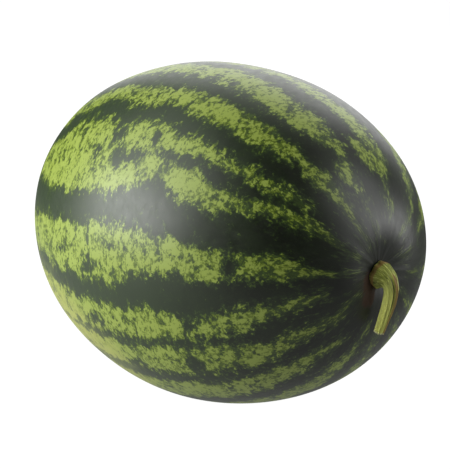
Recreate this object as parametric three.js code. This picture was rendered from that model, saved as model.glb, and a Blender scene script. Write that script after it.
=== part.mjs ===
// Watermelon: one ripe, oval, striped fruit, picked and lying on its side, with its cut stalk.
//
// Frame: millimetres, +Z up. The fruit's long axis runs along X, with the stalk at the +X end and
// the blossom end at -X. The origin is on the small flat spot that the fruit rests on, straight
// under the middle of its axis. Angles round the fruit start at its top and grow towards -Y.

import * as THREE from 'three';
import { ParametricGeometry } from 'three/addons/geometries/ParametricGeometry.js';

// Driving dimensions of the fruit
const FRUIT_RADIUS = 115;                            // at its widest
const FRUIT_HALF_LENGTH = 154;                       // before its two ends are hollowed
const LOBES = { count: 3, swell: 0.0118, first: 0.657 };  // three joined carpels, in radians
const REST_PRESS = 1.5;                              // how far the underside is flattened
const STALK_HOLLOW = { depth: 6, width: 20 };        // the dimple that the stalk stands in
const BLOSSOM_HOLLOW = { depth: 3.5, width: 20 };    // the shallower one at the other end
const FRUIT_FACETS = { around: 60, along: 44 };
const END_CROWDING = 0.25;                           // 0 spaces the rows of facets evenly

// Driving dimensions of the stalk, whose distances are measured along it from the fruit
const STALK_GAP = 0.9;
const STALK_FACETS = { around: 14, along: 33 };
const STALK_ROUTE = [                                // start, two handles and end of one smooth hook,
  [STALK_GAP, -1, -3.1],                             // from the middle of the dimple's floor
  [17.5, 1.2, -5.5],
  [13, -3.4, -16],
  [6.4, -6.4, -39.4],
];
const STALK_RADII = [                                // [distance along, radius]
  [0, 0],
  [1.5, 7.6],
  [3.5, 8.5],
  [6, 7.8],
  [9, 6.1],
  [12.5, 5.0],
  [17, 4.5],
  [25, 4.15],
  [35, 3.5],
  [49, 2.6],                                         // just past the cut end
];

// How much wider than a circle the fruit is in one direction, at its middle
function lobeSwell(angle) {
  return LOBES.swell * Math.cos(LOBES.count * (angle - LOBES.first));
}

// Depth of a bell-shaped hollow at a distance from the fruit's long axis
function hollowDepth(hollow, distance) {
  return hollow.depth * Math.exp(-((distance / hollow.width) ** 2));
}

const AXIS_HEIGHT = FRUIT_RADIUS * (1 + lobeSwell(Math.PI)) - REST_PRESS;
const DIMPLE_FLOOR = FRUIT_HALF_LENGTH - STALK_HOLLOW.depth;

// The rind: an ellipsoid of revolution about X, swollen into three faint lobes that fade towards
// its ends, hollowed at both ends and pressed flat where it rests. `turn` runs 0 to 1 round the
// fruit and `way` runs 0 to 1 from the stalk to the blossom end, with closer steps at the ends.
function rindPoint(turn, way, target) {
  const angle = -2 * Math.PI * turn;
  const polar = Math.PI * way - END_CROWDING * Math.sin(2 * Math.PI * way);
  const round = FRUIT_RADIUS * Math.sin(polar);
  const distance = round * (1 + lobeSwell(angle) * Math.sin(polar));
  const hollow = polar < Math.PI / 2
    ? hollowDepth(STALK_HOLLOW, round)
    : -hollowDepth(BLOSSOM_HOLLOW, round);
  const x = FRUIT_HALF_LENGTH * Math.cos(polar) - hollow;
  const z = AXIS_HEIGHT + distance * Math.cos(angle);
  target.set(x, -distance * Math.sin(angle), Math.max(z, 0));
}

function fruit() {
  const geometry = new ParametricGeometry(rindPoint, FRUIT_FACETS.around, FRUIT_FACETS.along);
  const material = new THREE.MeshStandardMaterial({ color: 0x4c5e34, roughness: 0.42 });
  const mesh = new THREE.Mesh(geometry, material);
  mesh.name = 'fruit';
  return mesh;
}

// Radius of the stalk at a distance along it, on straight lines between its stations
function stalkRadius(distance) {
  const next = Math.max(STALK_RADII.findIndex(([station]) => station >= distance), 1);
  const [from, radius] = STALK_RADII[next - 1];
  const [to, nextRadius] = STALK_RADII[next];
  return THREE.MathUtils.mapLinear(distance, from, to, radius, nextRadius);
}

// The stalk: round sections carried along a smooth hook. It starts at a point that swells into
// the knob in the dimple, and its last row of facets closes the flat cut end.
function stalk() {
  const route = new THREE.CubicBezierCurve3(
    ...STALK_ROUTE.map((point) => new THREE.Vector3(...point)),
  );
  const length = route.getLength();
  const rows = STALK_FACETS.along - 1;
  const frames = route.computeFrenetFrames(rows, false);
  const geometry = new ParametricGeometry((turn, way, target) => {
    const step = Math.round(way * STALK_FACETS.along);
    const row = Math.min(step, rows);
    const radius = step > rows ? 0 : stalkRadius((row / rows) * length);
    const angle = 2 * Math.PI * turn;
    route.getPointAt(row / rows, target);
    target.addScaledVector(frames.normals[row], radius * Math.cos(angle));
    target.addScaledVector(frames.binormals[row], radius * Math.sin(angle));
  }, STALK_FACETS.around, STALK_FACETS.along);
  const material = new THREE.MeshStandardMaterial({ color: 0x879a4e, roughness: 0.7 });
  const mesh = new THREE.Mesh(geometry, material);
  mesh.name = 'stalk';
  mesh.position.set(DIMPLE_FLOOR, 0, AXIS_HEIGHT);
  return mesh;
}

const watermelon = new THREE.Group();
watermelon.add(fruit(), stalk());

export default watermelon;
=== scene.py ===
# %% [markdown]
# # A ripe watermelon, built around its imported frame
# This lesson dresses a plain two-part frame, an oval fruit and its cut stalk, as a real
# watermelon. The frame fixes every size and place. Here we make the fine surface: the ragged
# light and dark stripes, the waxy rind, the dimple with its stalk and the scar at the other end.

import bpy
import numpy as np
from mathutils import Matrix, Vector


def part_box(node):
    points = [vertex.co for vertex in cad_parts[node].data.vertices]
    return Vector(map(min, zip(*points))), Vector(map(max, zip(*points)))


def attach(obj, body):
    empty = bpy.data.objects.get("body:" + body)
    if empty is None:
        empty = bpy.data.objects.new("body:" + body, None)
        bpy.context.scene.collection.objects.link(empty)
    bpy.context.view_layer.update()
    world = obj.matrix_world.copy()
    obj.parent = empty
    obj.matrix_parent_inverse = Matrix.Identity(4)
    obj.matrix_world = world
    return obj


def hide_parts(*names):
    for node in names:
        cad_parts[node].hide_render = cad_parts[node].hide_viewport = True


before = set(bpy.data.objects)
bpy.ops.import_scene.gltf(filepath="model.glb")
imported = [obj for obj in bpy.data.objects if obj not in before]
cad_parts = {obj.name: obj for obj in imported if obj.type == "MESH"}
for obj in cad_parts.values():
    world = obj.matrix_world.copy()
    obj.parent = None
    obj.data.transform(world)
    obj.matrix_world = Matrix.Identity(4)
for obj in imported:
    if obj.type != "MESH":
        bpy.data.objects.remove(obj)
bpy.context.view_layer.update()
print("frame nodes:", sorted(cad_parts))

# %% [markdown]
# ## The fruit's measures
# A melon grows from three joined carpels round one long axis, so its shape is an ellipsoid of
# revolution, swollen into three faint lobes, with a dimple at each end. These are the frame's own
# driving dimensions. Lengths are in millimetres until a mesh is made, because that is how a
# grower measures, and one factor turns them to Blender's metres.
#
# Two angles name a place on the rind. The turn goes round the fruit from its top towards -Y, and
# the way goes along it, from 0 degrees at the stalk to 180 degrees at the blossom end.

# %% Driving dimensions
MM = 0.001
FRUIT_RADIUS = 115.0
FRUIT_HALF_LENGTH = 154.0
LOBE_COUNT, LOBE_SWELL, LOBE_FIRST = 3, 0.0118, 0.657
REST_PRESS = 1.5
STALK_HOLLOW_DEPTH, STALK_HOLLOW_WIDTH = 6.0, 20.0
BLOSSOM_HOLLOW_DEPTH, BLOSSOM_HOLLOW_WIDTH = 3.5, 20.0
END_CROWDING = 0.25


def lobe_swell(turn):
    """Share by which the fruit is wider than a circle: a cosine with three crests."""
    return LOBE_SWELL * np.cos(LOBE_COUNT * (turn - LOBE_FIRST))


AXIS_HEIGHT = FRUIT_RADIUS * (1 + lobe_swell(np.pi)) - REST_PRESS
DIMPLE_FLOOR = FRUIT_HALF_LENGTH - STALK_HOLLOW_DEPTH
fruit_low, fruit_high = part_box("fruit")
print("axis height:", round(AXIS_HEIGHT, 2), "mm; the frame's fruit is",
      round((fruit_high.z - fruit_low.z) / MM, 1), "mm tall")

# %% [markdown]
# ## Camera
# A long lens from a little over a metre, slightly above the fruit and turned towards its stalk,
# keeps the oval free of wide-angle stretch. The camera aims a few millimetres off the fruit's
# centre, which frames it without any lens shift.

# %% Camera
VIEW_TURN, VIEW_RISE = 41.0, 13.0
VIEW_DISTANCE = 12 * FRUIT_RADIUS
LENS_MM, SENSOR_MM = 155.2, 36.0
AIM_RIGHT, AIM_DOWN = 0.4, 3.3

fruit_centre = Vector((0, 0, AXIS_HEIGHT)) * MM
turn, rise = np.radians([VIEW_TURN, VIEW_RISE])
towards_camera = Vector((np.cos(turn) * np.cos(rise), -np.sin(turn) * np.cos(rise), np.sin(rise)))
look = (-towards_camera).to_track_quat("-Z", "Y")
camera_data = bpy.data.cameras.new("camera")
camera_data.lens = LENS_MM
camera_data.sensor_width = SENSOR_MM
camera_data.clip_end = 100
camera = bpy.data.objects.new("camera", camera_data)
camera.rotation_mode = "QUATERNION"
camera.rotation_quaternion = look
aim = look @ Vector((AIM_RIGHT, -AIM_DOWN, 0)) * MM
camera.location = fruit_centre + aim + towards_camera * VIEW_DISTANCE * MM
bpy.context.scene.collection.objects.link(camera)
bpy.context.scene.camera = camera
print("camera at", [round(c, 3) for c in camera.location])

# %% [markdown]
# ## A mesh from a grid
# Each new surface is a grid of points, worked out with whole numpy arrays. The rows run along the
# piece and the columns go once round it. A single point closes each end, so there is no seam and
# no hole, and the faces are listed so that they look outwards.

# %% Grid to mesh
def closed_mesh(name, start, rings, end):
    """A closed surface: a start point, rings of points and an end point.

    rings has the shape (rows, columns, 3), and its columns run so that row step cross column
    step looks outwards. Neighbouring rings are joined by quads, and each end by a fan.
    """
    rows, columns = rings.shape[:2]
    points = np.concatenate([[start], rings.reshape(-1, 3), [end]]) * MM
    index = np.arange(rows * columns).reshape(rows, columns) + 1
    beside = np.roll(index, -1, axis=1)
    quads = np.stack([index[:-1], index[1:], beside[1:], beside[:-1]], axis=-1).reshape(-1, 4)
    first_fan = np.stack([np.zeros(columns, int), index[0], beside[0]], axis=-1)
    last = np.full(columns, rows * columns + 1)
    last_fan = np.stack([last, beside[-1], index[-1]], axis=-1)
    mesh = bpy.data.meshes.new(name)
    mesh.from_pydata(points.tolist(), [], quads.tolist() + first_fan.tolist() + last_fan.tolist())
    mesh.polygons.foreach_set("use_smooth", np.ones(len(mesh.polygons), bool))
    mesh.update()
    piece = bpy.data.objects.new(name, mesh)
    bpy.context.scene.collection.objects.link(piece)
    print(name, "has", len(mesh.vertices), "points and", len(mesh.polygons), "faces")
    return piece


def write_attribute(piece, name, start, values, end):
    """Store one number or one vector per point, in the same order as closed_mesh."""
    kind, field = ("FLOAT_VECTOR", "vector") if np.ndim(values) == 3 else ("FLOAT", "value")
    flat = np.concatenate([np.ravel(start), np.ravel(values), np.ravel(end)])
    piece.data.attributes.new(name, kind, "POINT").data.foreach_set(field, flat)


# %% [markdown]
# ## The rind's shape
# The frame's facets are replaced by a fine grid on the same formula. To it come the small
# departures of a grown thing: gentle lumps, furrows that run out of the stalk's dimple like the
# gathers of a bag, and the little round scar where the blossom fell off.

# %% Rind surface
RIND_COLUMNS, RIND_ROWS = 360, 268
LUMP_HEIGHT = 0.35
FURROW_DEPTH = 0.05
FURROW_REACH = 22.0
SCAR_RADIUS = 4.5
SCAR_HEIGHT = 0.9


def lumps(turn, way):
    """Slow bumps: a sum of a few waves round and along, with whole numbers of waves round."""
    return LUMP_HEIGHT * np.sin(way) * (
        np.sin(2 * turn + 3.1 * way)
        + 0.7 * np.sin(5 * turn - 4.3 * way + 1.0)
        + 0.5 * np.cos(7 * turn + 6.2 * way + 2.0))


def furrows(turn, distance):
    """Radial grooves round the stalk: waves round, rising and fading with the distance."""
    waves = np.cos(9 * turn + 0.6) + 0.6 * np.cos(14 * turn + 2.1) + 0.5 * np.cos(23 * turn)
    return -FURROW_DEPTH * waves * (distance / FURROW_REACH) * np.exp(1 - distance / FURROW_REACH)


def scar(distance):
    """The blossom scar: a low round button with a groove round it and a sunk middle."""
    ring = distance / SCAR_RADIUS
    return SCAR_HEIGHT * (np.exp(-ring**4) - 0.7 * np.exp(-(ring * 2.2) ** 2)
                          - 0.5 * np.exp(-((ring - 1.5) * 2.5) ** 2))


def rind_points(turn, way):
    """Ellipsoid of revolution about X, in mm: x = half length x cos(way), radius x sin(way).

    The radius swells by the lobes, which fade towards the ends. Bell-shaped hollows sink both
    ends, and what would reach below the ground is pressed flat.
    """
    distance = FRUIT_RADIUS * np.sin(way)
    radius = distance * (1 + lobe_swell(turn) * np.sin(way)) + lumps(turn, way) * np.sin(way)
    stalk_hollow = STALK_HOLLOW_DEPTH * np.exp(-(distance / STALK_HOLLOW_WIDTH) ** 2)
    blossom_hollow = BLOSSOM_HOLLOW_DEPTH * np.exp(-(distance / BLOSSOM_HOLLOW_WIDTH) ** 2)
    near_stalk = furrows(turn, distance) - stalk_hollow
    near_blossom = blossom_hollow - scar(distance)
    x = FRUIT_HALF_LENGTH * np.cos(way) + np.where(way < np.pi / 2, near_stalk, near_blossom)
    z = AXIS_HEIGHT + radius * np.cos(turn)
    return np.stack([x, -radius * np.sin(turn), np.maximum(z, 0)], axis=-1)


steps = np.linspace(0, 1, RIND_ROWS + 2)[1:-1]
row_way = np.pi * steps - END_CROWDING * np.sin(2 * np.pi * steps)
column_turn = np.arange(RIND_COLUMNS) * 2 * np.pi / RIND_COLUMNS
rind_turn, rind_way = np.meshgrid(column_turn, row_way)
stalk_pole = rind_points(np.array(0.0), np.array(0.0))
blossom_pole = rind_points(np.array(0.0), np.array(np.pi))
rind = closed_mesh("rind", stalk_pole, rind_points(rind_turn, rind_way), blossom_pole)

# %% [markdown]
# ## Where the stripes lie
# A watermelon's light stripes run from stalk to blossom end. Each is a chain of ragged patches
# that widens, forks and breaks up, and no formula gives that, so the stripes are laid out one by one,
# as a sign painter would: each stripe is a list of stations, with its two edges at each. What is
# stored on the mesh is only how deep a point lies inside its stripe, in millimetres, negative
# outside. The material then wears the edges ragged, so the layout can stay coarse.

# %% Stripe layout, in degrees: (way, turn of one edge, turn of the other edge)
LIGHT_STRIPES = [
    [(14, -133, -128), (25, -134, -126), (45, -136, -124), (70, -137, -122), (95, -137, -121),
     (120, -136, -122), (145, -134, -124), (168, -132, -127)],
    [(14, -105, -100), (26, -106, -99), (45, -108, -95), (75, -109, -93), (100, -108, -92),
     (125, -108, -94), (150, -106, -97), (168, -103, -99)],
    [(11, -75, -68), (16, -74, -66), (25, -71, -64), (40, -73, -61), (65, -76, -60),
     (95, -77, -59), (120, -77, -61), (150, -74, -64), (168, -71, -67)],
    [(14, -53, -44), (22, -51, -43), (27, -51, -46), (33, -50, -43), (45, -49, -40),
     (65, -47, -36), (90, -44, -32), (115, -44, -31), (145, -46, -36), (168, -45, -41)],
    [(16, -24, -13), (22, -25, -15), (25, -19, -15), (30, -20, -14), (33, -25, -15),
     (38, -26, -13), (44, -22, -12), (52, -21, -10), (60, -16, -7), (70, -14, -6), (85, -10, -1),
     (110, -10, 2), (140, -12, 0), (168, -14, -9)],
    [(33, -14, -6), (41, -14, -6)],
    [(12, 3, 8), (20, 8, 14), (28, 7, 14), (31, 5, 16), (36, 7, 15), (40, 2, 8), (44, 4, 14),
     (50, 1, 16), (58, 4, 16), (70, 4, 17), (80, 5, 15), (92, 7, 17), (105, 8, 19), (125, 9, 22),
     (150, 12, 20), (168, 14, 18)],
    [(10, 27, 34), (18, 26, 34), (27, 22, 33), (34, 22, 33), (40, 25, 31), (48, 25, 33),
     (58, 24, 34), (65, 25.5, 34.5), (72, 24, 34), (80, 24, 31.5), (87, 27, 36), (98, 27, 35.5),
     (105, 28, 35.5), (112, 31, 39.5), (130, 34, 44), (155, 36, 44), (168, 38, 42)],
    [(33, 44, 50), (40, 44, 49), (46, 45, 48.5), (56, 44, 47.5), (65, 43, 47.5), (70, 43, 49),
     (74, 43.5, 50), (80, 42, 52), (85, 41.5, 54), (90, 46, 55), (95, 45, 62), (100, 45, 70),
     (110, 45, 70), (115, 49, 73), (120, 53, 68), (130, 54, 67), (155, 54, 63), (168, 55, 60)],
    [(11, 56, 66), (18, 56, 62), (24, 52, 58), (30, 51, 60), (38, 52, 59), (44, 57, 61),
     (50, 56, 62.5), (56, 56, 65), (62, 54.5, 65), (68, 54, 63), (72, 53, 59), (76, 53, 61),
     (80, 55, 65), (84, 59, 67), (88, 58, 69), (94, 51, 68), (100, 50, 70)],
    [(10, 82, 88), (18, 83, 88), (26, 83, 91), (33, 77, 90), (40, 79, 89), (50, 81, 92),
     (57, 81, 92), (64, 79, 91), (75, 78, 92), (83, 77, 98), (90, 79, 98), (97, 81, 97),
     (105, 82, 99), (118, 82, 97), (130, 84, 99), (155, 86, 96), (168, 89, 93)],
    [(22, 104, 107), (29, 102, 110), (38, 104, 110), (46, 104, 114), (54, 107, 115),
     (60, 109, 114), (66, 108, 115), (72, 105, 116), (80, 107, 117), (90, 106, 118),
     (100, 107, 119), (110, 107, 121), (130, 108, 122), (155, 110, 119), (168, 112, 116)],
    [(12, 121, 128), (20, 122, 136), (27, 124, 135), (36, 124, 132), (44, 124, 137),
     (52, 121, 133), (60, 121, 134), (70, 120, 132), (80, 121, 132), (90, 121, 131),
     (105, 122, 134), (130, 125, 137), (155, 128, 137), (168, 131, 135)],
    [(25, 148, 156), (34, 143, 152), (45, 141, 152), (60, 140, 152), (80, 139, 152),
     (100, 139, 153), (130, 143, 155), (155, 146, 154), (168, 149, 152)],
    [(18, 166, 171), (30, 164, 173), (50, 162, 174), (80, 160, 174), (105, 160, 174),
     (130, 162, 174), (155, 165, 173), (168, 167, 170)],
    [(20, 184, 189), (40, 183, 193), (70, 181, 195), (100, 181, 195), (130, 182, 194),
     (155, 184, 192), (168, 187, 190)],
    [(20, 207, 212), (35, 206, 215), (60, 203, 217), (90, 202, 217), (120, 203, 216),
     (150, 206, 214), (168, 209, 212)],
]
# Dark breaks in the light stripes: (way, turn, half length along, half width round)
DARK_BREAKS = [
    (18.5, -70, 2, 7), (38, 11.5, 2.5, 4), (75, 14.5, 2, 2.5), (61, 111, 1.5, 4),
    (66, 52, 6, 2), (74, 63, 4, 3), (87, 57, 2, 3), (91, 48, 2.5, 4.5), (92, 93.5, 2, 3.5),
    (82, 85, 2.5, 0.8), (104, 91, 1.5, 1.2), (93, 114, 3, 2), (103, 118, 1.5, 2.5),
    (79, 47, 1, 5), (72, 52, 3.5, 2), (96, 56, 1.2, 3), (64.5, 129, 2.5, 5), (84, 132, 4, 3),
    (48, 85, 2, 5), (43, 30, 1.5, 3), (50, 22, 3, 4),
]
DEEPEST, SHALLOWEST = 3.8, -9.0                      # mm, limits that keep the noise in charge


def stripe_depth(turn, way):
    """Depth inside the nearest light stripe, in mm, by the distances to its edges and ends.

    A degree along the fruit is its quarter arc over 90, and a degree round it shrinks with the
    sine of the way. The deepest stripe wins, and each dark break, an ellipse on the rind, pushes
    the depth down again.
    """
    way_degree = np.pi / 180 * (FRUIT_HALF_LENGTH + FRUIT_RADIUS) / 2
    turn_degree = np.pi / 180 * FRUIT_RADIUS * np.sin(way)
    turn, way = np.degrees(turn), np.degrees(way)
    depth = np.full(turn.shape, SHALLOWEST)
    for stations in LIGHT_STRIPES:
        ways, edge_a, edge_b = np.array(stations, float).T
        centre = np.interp(way, ways, (edge_a + edge_b) / 2)
        half_width = np.interp(way, ways, (edge_b - edge_a) / 2)
        aside = np.abs((turn - centre + 180) % 360 - 180)
        across = (half_width - aside) * turn_degree
        along = np.minimum(way - ways[0] + 1, ways[-1] + 1 - way) * way_degree
        depth = np.maximum(depth, np.minimum(across, along))
    for break_way, break_turn, half_length, half_width in DARK_BREAKS:
        aside = np.abs((turn - break_turn + 180) % 360 - 180)
        reach = np.hypot((way - break_way) / half_length, aside / half_width)
        depth = np.minimum(depth, (reach - 1) * half_width * turn_degree)
    return np.clip(depth, SHALLOWEST, DEEPEST)


rind_depth = stripe_depth(rind_turn, rind_way)
write_attribute(rind, "stripe_depth", SHALLOWEST, rind_depth, SHALLOWEST)
print("share of the rind under light stripes:", round(float((rind_depth > 0).mean()), 2))

# %% [markdown]
# ## Growth coordinates
# The rind stretches as the fruit swells, so its mottling is drawn out round the fruit at the
# middle and radially near the ends. Noise read on ordinary coordinates can't do that. Noise read
# on a cylinder can: its first two coordinates are a circle of constant size for every turn, and
# the third is a distance along the skin. There is no seam, because the circle closes. The third
# coordinate runs faster than the skin at the middle, which squeezes the mottling along the fruit,
# and it slows down with the girth towards both ends, which draws the mottling out into rays.
#
# Three more values are stored: how far a point is from the stalk, how much it belongs to the pale
# spot where the fruit lay on the ground, and the dry, corky patch on one side of the dimple, which
# also carries painted shadow under the stalk's knob.

# %% Growth coordinates and the ground spot
ALONG_STRETCH, GIRTH_POWER = 1.6, 0.65
GROUND_WAY, GROUND_TURN, GROUND_RADIUS, GROUND_FADE = 118, 138, 30, 12    # degrees
# The patch placed here is a dry, corky patch that also serves as painted shadow on the dimple's wall
# beside and under the stalk's knob.
CORK_SHADOW_ASIDE, CORK_SHADOW_LEAN, CORK_SHADOW_WIDTH = -8.6, 0.09, 6.0                       # mm, but for the lean
CORK_SHADOW_HEIGHT, CORK_SHADOW_REACH = -11.0, 12.0

profile = rind_points(np.zeros(RIND_ROWS), row_way)
hop = np.linalg.norm(np.diff(np.vstack([stalk_pole, profile, blossom_pole]), axis=0), axis=1)
skin_distance = np.cumsum(hop)
skin_length = skin_distance[-1]
on_row = np.broadcast_to(skin_distance[:-1, None], rind_turn.shape)
hop_girth = np.append(np.sin(row_way), 0) ** GIRTH_POWER
slow_distance = ALONG_STRETCH * np.cumsum(hop * hop_girth)
slow_row = np.broadcast_to(slow_distance[:-1, None], rind_turn.shape)
growth = np.stack([FRUIT_RADIUS * np.cos(rind_turn), FRUIT_RADIUS * np.sin(rind_turn), slow_row],
                  axis=-1)
write_attribute(rind, "growth", (0, 0, 0), growth, (0, 0, slow_distance[-1]))
write_attribute(rind, "from_stalk", 0, on_row, skin_length)


def direction(turn, way):
    """Unit vector from the fruit's centre, from the two angles."""
    return np.stack([np.cos(way), -np.sin(way) * np.sin(turn), np.sin(way) * np.cos(turn)], -1)


ground_centre = direction(np.radians(GROUND_TURN), np.radians(GROUND_WAY))
angle_away = np.degrees(np.arccos(np.clip(direction(rind_turn, rind_way) @ ground_centre, -1, 1)))
ground = np.clip((GROUND_RADIUS - angle_away) / GROUND_FADE, -1, 1)
write_attribute(rind, "ground_spot", -1, ground, -1)

# The dry, corky patch beside the dimple, which also carries painted shadow under the stalk's knob.
from_axis = FRUIT_RADIUS * np.sin(rind_way)
aside, height = -from_axis * np.sin(rind_turn), from_axis * np.cos(rind_turn)
off_aside = (aside - CORK_SHADOW_ASIDE - CORK_SHADOW_LEAN * height) / CORK_SHADOW_WIDTH
off_height = (height - CORK_SHADOW_HEIGHT) / CORK_SHADOW_REACH
cork_and_shadow = np.where(rind_way < np.pi / 2, np.exp(-off_aside**2 - off_height**4), 0)
write_attribute(rind, "dry_patch_and_shadow", 0, cork_and_shadow, 0)
print("skin from stalk to blossom end:", round(float(skin_length)), "mm")

# %% [markdown]
# ## The stalk's shape
# The stalk is a ribbed green rope of fibres. It stands in the dimple on a swollen knob, hooks over
# and ends in a clean cut. One smooth curve with two handles gives the hook, and round sections
# are carried along it. The ribs and the lumps of the knob are waves in the section's radius. One
# rib has dried: it stands out as a ridge, with a sunk groove beside it.

# %% Stalk surface
STALK_ROUTE = np.array([[0, -0.4, -3.1], [17.0, 1.4, -5.5], [13, -2.2, -16], [6.4, -6.0, -39.0]])
STALK_STATIONS = [0, 1.5, 3.5, 6, 9, 12.5, 17, 25, 35, 49]
STALK_RADII = [8.6, 8.7, 8.4, 7.4, 5.9, 4.9, 4.3, 3.8, 3.1, 2.3]
STALK_COLUMNS, STALK_ROWS, ROUTE_STEPS = 120, 160, 600
KNOB_END, KNOB_FADE = 4.0, 10.0
RIB_COUNT, RIB_HEIGHT, RIB_TWIST, KNOB_RIBS = 9, 0.22, 0.012, 0.4
RIDGE_TURN, RIDGE_TWIST, RIDGE_WIDTH, RIDGE_HEIGHT = 0.12, -0.016, 0.26, 0.5
GROOVE_ASIDE, GROOVE_WIDTH, GROOVE_DEPTH = 0.5, 0.17, 0.75
CUT_ROWS, CUT_HOLLOW = 6, 0.5


def hook(share):
    """A cubic curve through the route: weights of its start, two handles and end by the share."""
    rest = 1 - share
    weights = np.stack([rest**3, 3 * rest**2 * share, 3 * rest * share**2, share**3], axis=-1)
    return weights @ STALK_ROUTE + np.array([DIMPLE_FLOOR, 0, AXIS_HEIGHT])


def unit(vectors):
    """Each vector divided by its length."""
    return vectors / np.linalg.norm(vectors, axis=-1, keepdims=True)


def bell(angle, width):
    """A bell curve of an angle, which closes round the section."""
    return np.exp(-(((angle + np.pi) % (2 * np.pi) - np.pi) / width) ** 2)


fine = np.linspace(0, 1, ROUTE_STEPS)
along_fine = np.concatenate([[0], np.cumsum(np.linalg.norm(np.diff(hook(fine), axis=0), axis=1))])
stalk_length = along_fine[-1]
stations = np.linspace(0, stalk_length, STALK_ROWS)
stalk_centre = hook(np.interp(stations, along_fine, fine))
tangent = unit(np.gradient(stalk_centre, axis=0))
side = unit(np.cross(tangent, [0.0, 1.0, 0.0]))
out = np.cross(tangent, side)
angle, along = np.meshgrid(np.arange(STALK_COLUMNS) * 2 * np.pi / STALK_COLUMNS, stations)
slender = np.clip((along - KNOB_END) / KNOB_FADE, 0, 1)
twisted = angle + RIB_TWIST * along
from_ridge = angle - RIDGE_TURN - RIDGE_TWIST * along
ridge = slender * bell(from_ridge, RIDGE_WIDTH)
groove = slender * bell(from_ridge - GROOVE_ASIDE, GROOVE_WIDTH)
ribs = np.cos(RIB_COUNT * twisted) + 0.6 * np.cos(17 * twisted + 1.3) + 0.4 * np.cos(29 * twisted)
knob_lumps = 0.3 * np.cos(4 * angle + 0.5 * along) + 0.2 * np.cos(9 * angle - 0.4 * along)
radius = (np.interp(along, STALK_STATIONS, STALK_RADII) + (1 - slender) * knob_lumps
          + RIB_HEIGHT * ribs * (KNOB_RIBS + slender) + RIDGE_HEIGHT * ridge - GROOVE_DEPTH * groove)
spoke = side[:, None] * np.cos(angle)[..., None] + out[:, None] * np.sin(angle)[..., None]
rings = stalk_centre[:, None] + radius[..., None] * spoke

# The cut face closes the last ring with smaller copies of it, sunk a little in the middle.
shrink = np.linspace(1, 0, CUT_ROWS + 1)[1:-1]
sink = CUT_HOLLOW * (1 - shrink**2)[:, None] * unit(stalk_centre[-2] - stalk_centre[-1])
cut_rings = stalk_centre[-1] + shrink[:, None, None] * (rings[-1] - stalk_centre[-1]) + sink[:, None]
all_rings = np.concatenate([rings, cut_rings])[:, ::-1]
stalk = closed_mesh("stalk_skin", stalk_centre[0], all_rings, stalk_centre[-1] + sink[-1])

# %% [markdown]
# The stalk's colours follow its fibres, so it gets growth coordinates too: a circle round it, which
# keeps its 4 mm along the whole stalk, and a slow third coordinate along it, which draws noise out
# into long streaks. Dryness is highest on the ridge and in a ring where the knob meets the rind.

# %% Stalk attributes
FIBRE_CIRCLE, FIBRE_STRETCH = 4.0, 0.13
RING_AT, RING_WIDTH, RING_DRYNESS, RIDGE_DRYNESS = 1.9, 1.9, 0.9, 1.2

fibre = np.stack([FIBRE_CIRCLE * np.cos(twisted), FIBRE_CIRCLE * np.sin(twisted),
                  FIBRE_STRETCH * along], axis=-1)
dry_ring = RING_DRYNESS * np.exp(-((along - RING_AT) / RING_WIDTH) ** 2)
dry = np.clip(RIDGE_DRYNESS * ridge + dry_ring, 0, 1)
on_cut = np.ones((CUT_ROWS - 1, STALK_COLUMNS))
for name, on_side, on_end in (("dry", dry, 0 * on_cut), ("groove", groove, 0 * on_cut),
                              ("stalk_along", along, stalk_length * on_cut),
                              ("cut_face", 0 * along, on_cut)):
    values = np.concatenate([on_side, on_end])[:, ::-1]
    write_attribute(stalk, name, values[0, 0], values, values[-1, 0])
end_fibre = shrink[:, None, None] * fibre[-1:]
write_attribute(stalk, "fibre", (0, 0, 0), np.concatenate([fibre, end_fibre])[:, ::-1], (0, 0, 0))
print("stalk length:", round(float(stalk_length), 1), "mm")

# %% [markdown]
# ## Materials
# Colours are written as sRGB hex values, as a painter would mix them, and one function turns them
# to the linear values that the shader needs. One small function adds a node with its settings and
# links and hands back an output, so a material reads as a list of steps.

# %% Colour and node helpers
NOISE, MATH, RANGE = "ShaderNodeTexNoise", "ShaderNodeMath", "ShaderNodeMapRange"
MIX, BUMP, ATTRIBUTE = "ShaderNodeMix", "ShaderNodeBump", "ShaderNodeAttribute"
PRINCIPLED, OUTPUT = "ShaderNodeBsdfPrincipled", "ShaderNodeOutputMaterial"
FACTOR, COLOUR_A, COLOUR_B, MIXED_COLOUR = 0, 6, 7, 2


def linear(code):
    """sRGB hex to linear RGBA: divide by 12.92 in the dark part, else a power of 2.4."""
    srgb = np.array([int(code[i:i + 2], 16) for i in (1, 3, 5)]) / 255
    value = np.where(srgb <= 0.04045, srgb / 12.92, ((srgb + 0.055) / 1.055) ** 2.4)
    return (*value.tolist(), 1.0)


def add_node(tree, kind, inputs=None, output=0, **settings):
    """Add a node, set its options, link or set each input that is given, and return an output."""
    new = tree.nodes.new(kind)
    for option, value in settings.items():
        setattr(new, option, value)
    for socket, value in (inputs or {}).items():
        if isinstance(value, bpy.types.NodeSocket):
            tree.links.new(value, new.inputs[socket])
        else:
            new.inputs[socket].default_value = value
    return new.outputs[output] if new.outputs else None


def new_material(name):
    """An empty material and its node tree."""
    material = bpy.data.materials.new(name)
    material.use_nodes = True
    material.node_tree.nodes.clear()
    return material, material.node_tree
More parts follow.
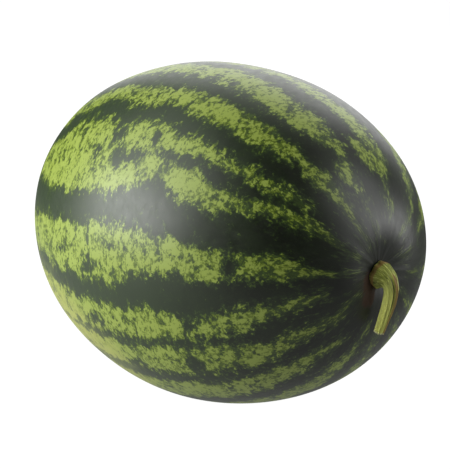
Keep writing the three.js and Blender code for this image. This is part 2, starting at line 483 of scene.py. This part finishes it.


# %% [markdown]
# ## Material: waxy rind
# Watermelon rind is a smooth skin under a thin coat of wax. It isn't lacquered: its highlights are
# wide and soft, with a roughness near 0.4 and an index near 1.55, a little over a plant wax's 1.45.
#
# The edges of the light stripes are ragged at three sizes. A slow wander of about 22 mm makes
# bays, blobs of about 9 mm make lobes and holes, and noise of 3 to 4 mm makes the teeth. Their sum
# is added to the stripe depth, and the light colour starts where the result passes zero. A little
# below zero lies a mid green, which is the halo round every patch. A second noise of the same
# grain cuts green crevices into the patches and decides where they are palest. The dark rind is
# greener far from the stalk. Close to the stalk it is painted a dark grey, a grey tint with painted
# shade that deepens into the dimple, and there the stripes break up into light threads. A dry,
# corky patch beside the dimple is painted brown, darkened as painted shadow under the stalk's knob.

# %% Rind noises: name, size in mm, detail, roughness, distortion
RIND_NOISES = [
    ("bays", 22.0, 1.0, 0.5, 0.0),
    ("blobs", 9.0, 2.0, 0.6, 0.3),
    ("teeth", 3.4, 3.0, 0.65, 0.5),
    ("crevices", 3.2, 3.0, 0.65, 0.6),
    ("shade", 30.0, 3.0, 0.55, 0.0),
    ("grain", 1.6, 3.0, 0.65, 0.0),
    ("wax", 5.0, 3.0, 0.55, 0.0),
    ("pores", 0.9, 2.0, 0.5, 0.0),
]

rind_material, tree = new_material("waxy_watermelon_rind")
growth_at = add_node(tree, ATTRIBUTE, attribute_name="growth", output="Vector")
depth_at, ground_at, stalk_at, dry_at = [
    add_node(tree, ATTRIBUTE, attribute_name=name, output="Fac")
    for name in ("stripe_depth", "ground_spot", "from_stalk", "dry_patch_and_shadow")]
noises = {}
for seed, (name, size, detail, roughness, distortion) in enumerate(RIND_NOISES, start=1):
    noises[name] = add_node(tree, NOISE, {
        "Vector": growth_at, "W": float(seed), "Scale": 1 / size, "Detail": detail,
        "Roughness": roughness, "Distortion": distortion}, noise_dimensions="4D")
print("rind noises, mm:", {name: size for name, size, *_ in RIND_NOISES})

# %% [markdown]
# From the noises come five values. The ragged depth bounds the light patches and the slow edge
# bounds the green body of a stripe. The creviced depth has finer teeth. The threads are light rays
# at the stalk, which keep to the stripes, and the corky value breaks up the dry patch and the
# painted shadow that it carries under the knob.

# %% Ragged edges
RAGGED_REACH = {"bays": 9.0, "blobs": 24.0, "teeth": 24.0}      # mm from trough to crest
SLOW_REACH, CREVICE_REACH, CREVICE_EDGE_SHARE = 12.0, 18.0, 0.5
BREAK_DEPTH, BREAK_FROM, BREAK_TO = -3.6, 15.0, 135.0            # mm, by distance from the stalk
THREADS_END, THREADS_FULL, THREAD_STRIPE_SHARE = 60.0, 24.0, 0.015

ragged = depth_at
for name, reach in RAGGED_REACH.items():
    wander = add_node(tree, MATH, {0: noises[name], 1: reach, 2: -reach / 2},
                      operation="MULTIPLY_ADD")
    ragged = add_node(tree, MATH, {0: ragged, 1: wander}, operation="ADD")
slow_edge = add_node(tree, MATH, {0: noises["blobs"], 1: SLOW_REACH, 2: -SLOW_REACH / 2},
                     operation="MULTIPLY_ADD")
slow_edge = add_node(tree, MATH, {0: slow_edge, 1: depth_at}, operation="ADD")
broken = add_node(tree, RANGE, {"Value": stalk_at, "From Min": BREAK_FROM, "From Max": BREAK_TO,
                                "To Min": BREAK_DEPTH, "To Max": 0.0})
ragged = add_node(tree, MATH, {0: ragged, 1: broken}, operation="ADD")
creviced = add_node(tree, MATH, {0: noises["crevices"], 1: CREVICE_REACH, 2: -CREVICE_REACH / 2},
                    operation="MULTIPLY_ADD")
creviced = add_node(tree, MATH, {0: ragged, 1: CREVICE_EDGE_SHARE, 2: creviced},
                    operation="MULTIPLY_ADD")
# The corky value breaks up the dry patch and its painted shadow under the knob.
corky_and_shadow = add_node(tree, MATH, {0: dry_at, 1: noises["blobs"]}, operation="MULTIPLY")
stalk_end = add_node(tree, RANGE, {"Value": stalk_at, "From Min": THREADS_END,
                                   "From Max": THREADS_FULL})
threads = add_node(tree, MATH, {0: stalk_end, 1: noises["teeth"]}, operation="MULTIPLY")
threads = add_node(tree, MATH, {0: depth_at, 1: THREAD_STRIPE_SHARE, 2: threads},
                   operation="MULTIPLY_ADD")
print("stripe edges wander by up to", sum(RAGGED_REACH.values()) / 2, "mm")

# %% [markdown]
# The colours are laid over one another, as glazes are. Each has a value that steers it, the place
# where it starts, the place where it is full, and its strength there. Values of a depth are in
# millimetres, and a noise runs from 0 to 1 around a half.

# %% Rind colours: each step is a value, where it starts and is full, how strong it is
DARK_GREEN, DEEP_GREEN, FAR_GREEN = "#1c2613", "#141a0e", "#34442a"
MID_GREEN, HALO_GREEN, BODY_GREEN, AURA_GREEN, CREVICE_GREEN = (
    "#4c6227", "#36451f", "#3f5223", "#30411f", "#4b6018")
LIGHT_GREEN, PALE_GREEN = "#778a2f", "#9db04f"
GROUND_YELLOW, GROUND_GREEN = "#b0b75a", "#707c42"
# The grey near the stalk is painted shade with a grey tint, deepest in the dimple; the brown is the
# dry corky patch, darkened as painted shadow under the knob.
STALK_END_SHADE_GREY, THREAD_GREEN, CORK_AND_SHADOW_BROWN = "#272826", "#6b7a42", "#4c3728"
GROUND_NOISE, GROUND_START, GROUND_FULL, GROUND_STRENGTH = 2.0, -0.6, 1.0, 0.9

step_table = {
    "deep": (noises["shade"], 0.65, 0.35, 1.0),
    "far": (stalk_at, 70.0, 210.0, 0.8),
    "veins": (noises["grain"], 0.5, 0.8, 0.4),
    "aura": (ragged, -8.0, -1.0, 0.55),
    "body": (slow_edge, -1.0, 2.5, 0.7),
    "halo": (ragged, -2.0, -0.6, 0.7),
    "bright_halo": (creviced, -0.9, 0.1, 0.65),
    "light": (ragged, -0.15, 0.25, 1.0),
    "crevice": (creviced, 0.8, -0.2, 0.85),
    "pale": (creviced, 0.9, 2.6, 0.85),
    "speckle": (noises["grain"], 0.55, 0.8, 0.4),
    # Near the stalk: painted shade with a grey tint, deepest in the dimple.
    "near_stalk": (stalk_at, 80.0, 10.0, 0.6),
    "threads": (threads, 0.51, 0.62, 0.6),
    # The dry corky patch, darkened as painted shadow under the knob.
    "cork_and_shadow": (corky_and_shadow, 0.12, 0.34, 0.9),
}
steps_of = {
    name: add_node(tree, RANGE, {"Value": value, "From Min": start, "From Max": full,
                                 "To Max": strength}, interpolation_type="SMOOTHSTEP")
    for name, (value, start, full, strength) in step_table.items()}
print("the rind has", len(step_table), "colour steps")

# %% Light patches, the ground spot and the whole skin
light_patch = linear(LIGHT_GREEN)
for factor, colour in ((steps_of["pale"], PALE_GREEN), (steps_of["speckle"], MID_GREEN),
                       (steps_of["crevice"], CREVICE_GREEN)):
    light_patch = add_node(tree, MIX, {FACTOR: factor, COLOUR_A: light_patch,
                                       COLOUR_B: linear(colour)},
                           output=MIXED_COLOUR, data_type="RGBA")
ground_noise = add_node(tree, MATH, {0: noises["blobs"], 1: GROUND_NOISE, 2: -GROUND_NOISE / 2},
                        operation="MULTIPLY_ADD")
ground_edge = add_node(tree, MATH, {0: ground_at, 1: ground_noise}, operation="ADD")
on_ground = add_node(tree, RANGE, {"Value": ground_edge, "From Min": GROUND_START,
                                   "From Max": GROUND_FULL, "To Max": GROUND_STRENGTH},
                     interpolation_type="SMOOTHSTEP")
yellow = add_node(tree, MIX, {FACTOR: steps_of["light"], COLOUR_A: linear(GROUND_GREEN),
                              COLOUR_B: linear(GROUND_YELLOW)},
                  output=MIXED_COLOUR, data_type="RGBA")
skin = linear(DARK_GREEN)
for factor, colour in ((steps_of["deep"], linear(DEEP_GREEN)),
                       (steps_of["far"], linear(FAR_GREEN)),
                       (steps_of["veins"], linear(HALO_GREEN)),
                       (steps_of["aura"], linear(AURA_GREEN)),
                       (steps_of["body"], linear(BODY_GREEN)),
                       (steps_of["halo"], linear(HALO_GREEN)),
                       (steps_of["bright_halo"], linear(MID_GREEN)),
                       (steps_of["light"], light_patch),
                       (on_ground, yellow),
                       # Painted shade with a grey tint near the stalk, and the brown corky patch
                       # darkened as painted shadow under the knob.
                       (steps_of["near_stalk"], linear(STALK_END_SHADE_GREY)),
                       (steps_of["threads"], linear(THREAD_GREEN)),
                       (steps_of["cork_and_shadow"], linear(CORK_AND_SHADOW_BROWN))):
    skin = add_node(tree, MIX, {FACTOR: factor, COLOUR_A: skin, COLOUR_B: colour},
                    output=MIXED_COLOUR, data_type="RGBA")
print("the rind's material has", len(tree.nodes), "nodes")

# %% [markdown]
# The wax lies a little unevenly, so its roughness wanders between two values and the surface has a
# faint relief of wax and pores. The corky patch has no wax and is matt.

# %% Rind relief and shader
RIND_IOR = 1.55
PORE_SHARE, RELIEF_STRENGTH, RELIEF_HEIGHT = 0.3, 0.12, 0.3
WAX_THIN, WAX_THICK = 0.3, 0.7
SMOOTH_WAX, ROUGH_WAX, CORK_MATTNESS = 0.36, 0.46, 0.5

relief = add_node(tree, MATH, {0: noises["pores"], 1: PORE_SHARE, 2: noises["wax"]},
                  operation="MULTIPLY_ADD")
bump = add_node(tree, BUMP, {"Height": relief, "Strength": RELIEF_STRENGTH,
                             "Distance": RELIEF_HEIGHT * MM})
mattness = add_node(tree, RANGE, {"Value": noises["wax"], "From Min": WAX_THIN,
                                  "From Max": WAX_THICK, "To Min": SMOOTH_WAX,
                                  "To Max": ROUGH_WAX})
mattness = add_node(tree, MATH, {0: steps_of["cork_and_shadow"], 1: CORK_MATTNESS, 2: mattness},
                    operation="MULTIPLY_ADD")
shader = add_node(tree, PRINCIPLED, {"Base Color": skin, "Roughness": mattness, "IOR": RIND_IOR,
                                     "Normal": bump})
add_node(tree, OUTPUT, {"Surface": shader})
rind.data.materials.append(rind_material)
print("rind roughness from", SMOOTH_WAX, "to", ROUGH_WAX, "with an index of", RIND_IOR)

# %% [markdown]
# ## Material: green stalk
# The stalk is living plant fibre: matt, ribbed, and streaked along its length. Its dried rib and
# the ring at its foot are brown, the groove is dark, and the cut shows pale, wet fibre ends.

# %% Stalk material
STALK_GREEN, STALK_DEEP, STALK_LIGHT = "#98a240", "#46541a", "#e6ec7c"
RIB_BROWN, GROOVE_BROWN, CUT_PALE = "#9c7e42", "#2e2710", "#dedcae"
STREAK_SIZE, FLECK_SIZE = 1.1, 0.5                   # mm across the stalk
FIBRE_DETAIL, FIBRE_GRIT, PATCHINESS = 3.0, 0.6, 0.9
CUT_RIM_START, CUT_RIM_FULL = 1.6, 0.2               # mm before the cut
STALK_ROUGHNESS, FIBRE_STRENGTH, FIBRE_HEIGHT = 0.55, 0.5, 0.5

stalk_material, tree = new_material("fibrous_green_stalk")
fibre_at = add_node(tree, ATTRIBUTE, attribute_name="fibre", output="Vector")
dry_at, groove_at, along_at, cut_at = [
    add_node(tree, ATTRIBUTE, attribute_name=name, output="Fac")
    for name in ("dry", "groove", "stalk_along", "cut_face")]
streaks, flecks = [
    add_node(tree, NOISE, {"Vector": fibre_at, "W": seed, "Scale": 1 / size,
                           "Detail": FIBRE_DETAIL, "Roughness": FIBRE_GRIT},
             noise_dimensions="4D")
    for seed, size in ((1.0, STREAK_SIZE), (2.0, FLECK_SIZE))]
dry_patchy = add_node(tree, MATH, {0: streaks, 1: PATCHINESS, 2: dry_at},
                      operation="MULTIPLY_ADD")

# Each step is a value, where it starts and is full, how strong it is, and its colour.
stalk_steps = [
    (streaks, 0.55, 0.38, 0.85, STALK_DEEP),
    (flecks, 0.46, 0.68, 0.85, STALK_LIGHT),
    (along_at, 5.0, 28.0, 0.85, STALK_LIGHT),
    (dry_patchy, 0.85, 1.15, 0.9, RIB_BROWN),
    (groove_at, 0.25, 0.8, 0.85, GROOVE_BROWN),
    (along_at, stalk_length - CUT_RIM_START, stalk_length - CUT_RIM_FULL, 0.8, CUT_PALE),
    (cut_at, 0.2, 0.8, 1.0, CUT_PALE),
]
stalk_colour = linear(STALK_GREEN)
for value, start, full, strength, colour in stalk_steps:
    step = add_node(tree, RANGE, {"Value": value, "From Min": start, "From Max": full,
                                  "To Max": strength}, interpolation_type="SMOOTHSTEP")
    stalk_colour = add_node(tree, MIX, {FACTOR: step, COLOUR_A: stalk_colour,
                                        COLOUR_B: linear(colour)},
                            output=MIXED_COLOUR, data_type="RGBA")
bump = add_node(tree, BUMP, {"Height": streaks, "Strength": FIBRE_STRENGTH,
                             "Distance": FIBRE_HEIGHT * MM})
shader = add_node(tree, PRINCIPLED, {"Base Color": stalk_colour, "Roughness": STALK_ROUGHNESS,
                                     "Normal": bump})
add_node(tree, OUTPUT, {"Surface": shader})
stalk.data.materials.append(stalk_material)
print("the stalk has", len(stalk_steps), "colour steps")

# %% [markdown]
# ## Tie the pieces to the frame
# Each new piece rides on the frame's one body and stands for its plain node.

# %% Ride and replace
for piece, node, slot in ((rind, "fruit", "rind"), (stalk, "stalk", "stalk")):
    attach(piece, "root")
    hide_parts(node)
    print(piece.name, "stands for", node)

# %% [markdown]
# ## Floor and studio light
# A white floor that glows to the eye, and soft boxes at both sides and behind. Nothing but darkness
# stands behind the camera, which is what lets dark rind look dark. The fruit itself feels much less
# of the floor: a pool of glow at its front left, as from a small light table, which lights its
# underside, while the floor in front of its stalk stays dim. The camera sees plain white.

# %% Floor
FLOOR_SIZE = 60.0                                    # metres, as are the next lengths
SEEN_GLOW, FELT_GLOW, FAINT_GLOW = 1.0, 0.46, 0.02
GLOW_MIDDLE = (-0.25, -0.29, 0.0)
GLOW_FULL, GLOW_END = 0.2, 0.9
FLOOR_GREY = "#525252"

floor_mesh = bpy.data.meshes.new("floor")
half = FLOOR_SIZE / 2
floor_mesh.from_pydata([(-half, -half, 0), (half, -half, 0), (half, half, 0), (-half, half, 0)],
                       [], [(0, 1, 2, 3)])
floor = bpy.data.objects.new("floor", floor_mesh)
bpy.context.scene.collection.objects.link(floor)
floor_material, tree = new_material("white_floor")
seen = add_node(tree, "ShaderNodeLightPath", output="Is Camera Ray")
place = add_node(tree, "ShaderNodeTexCoord", output="Object")
outwards = add_node(tree, "ShaderNodeVectorMath", {0: place, 1: GLOW_MIDDLE}, output="Value",
                    operation="DISTANCE")
felt = add_node(tree, RANGE, {"Value": outwards, "From Min": GLOW_FULL, "From Max": GLOW_END,
                              "To Min": FELT_GLOW, "To Max": FAINT_GLOW})
glow = add_node(tree, RANGE, {"Value": seen, "To Min": felt, "To Max": SEEN_GLOW})
lit = add_node(tree, "ShaderNodeEmission", {"Strength": glow})
matt = add_node(tree, "ShaderNodeBsdfDiffuse", {"Color": linear(FLOOR_GREY)})
add_node(tree, OUTPUT, {"Surface": add_node(tree, "ShaderNodeAddShader", {0: matt, 1: lit})})
floor.data.materials.append(floor_material)
print("the floor's pool of glow reaches", GLOW_END, "m from its middle")

# %% [markdown]
# Each soft box is a square lamp that faces the fruit. The ones at the left make the wide haze on
# the rind's near side, the ones at the right pick out the stalk and the rind round it, and the ones
# behind, with the pale wall there, draw a soft bright rim along the top.

# %% Room and soft boxes: name, direction, distance, size in m, power in W
SOFT_BOXES = [
    ("left_high_box", (-0.5, -0.45, 0.75), 1.4, 1.0, 3.0),
    ("left_middle_box", (-0.38, -0.8, 0.52), 1.4, 1.2, 10.5),
    ("left_low_box", (-0.5, -0.85, 0.08), 1.4, 1.1, 23.5),
    ("right_box", (0.72, 0.5, 0.5), 1.6, 1.2, 11.0),
    ("right_low_box", (0.58, 0.82, -0.08), 1.6, 1.1, 13.0),
    ("top_back_box", (-0.35, 0.6, 0.75), 1.7, 1.6, 5.0),
    ("back_box", (-0.6, 0.65, 0.45), 1.8, 1.6, 12.5),
]
BACK_WALL = (-0.55, 0.83, 0.0)
BACK_GLOW, BACK_FROM, BACK_FULL = 0.5, 0.8, 0.98

world = bpy.data.worlds.new("dark_room_white_ground")
bpy.context.scene.world = world
world.use_nodes = True
tree = world.node_tree
tree.nodes.clear()
facing = add_node(tree, "ShaderNodeTexCoord", output="Generated")
back = add_node(tree, "ShaderNodeVectorMath", {0: facing, 1: BACK_WALL}, output="Value",
                operation="DOT_PRODUCT")
back_glow = add_node(tree, RANGE, {"Value": back, "From Min": BACK_FROM, "From Max": BACK_FULL,
                                   "To Max": BACK_GLOW}, interpolation_type="SMOOTHSTEP")
seen = add_node(tree, "ShaderNodeLightPath", output="Is Camera Ray")
strength = add_node(tree, MATH, {0: back_glow, 1: seen}, operation="MAXIMUM")
add_node(tree, "ShaderNodeOutputWorld", {
    "Surface": add_node(tree, "ShaderNodeBackground", {"Color": (1, 1, 1, 1), "Strength": strength})})

for name, towards, distance, size, power in SOFT_BOXES:
    lamp = bpy.data.lights.new(name, "AREA")
    lamp.shape = "SQUARE"
    lamp.size = size
    lamp.energy = power
    box = bpy.data.objects.new(name, lamp)
    away = Vector(towards).normalized()
    box.location = fruit_centre + away * distance
    box.rotation_mode = "QUATERNION"
    box.rotation_quaternion = away.to_track_quat("Z", "Y")
    box.visible_camera = False
    bpy.context.scene.collection.objects.link(box)
bpy.context.scene.view_settings.view_transform = "Standard"
bpy.context.scene.view_settings.look = "None"
print(len(SOFT_BOXES), "soft boxes, total power", sum(entry[-1] for entry in SOFT_BOXES), "W")
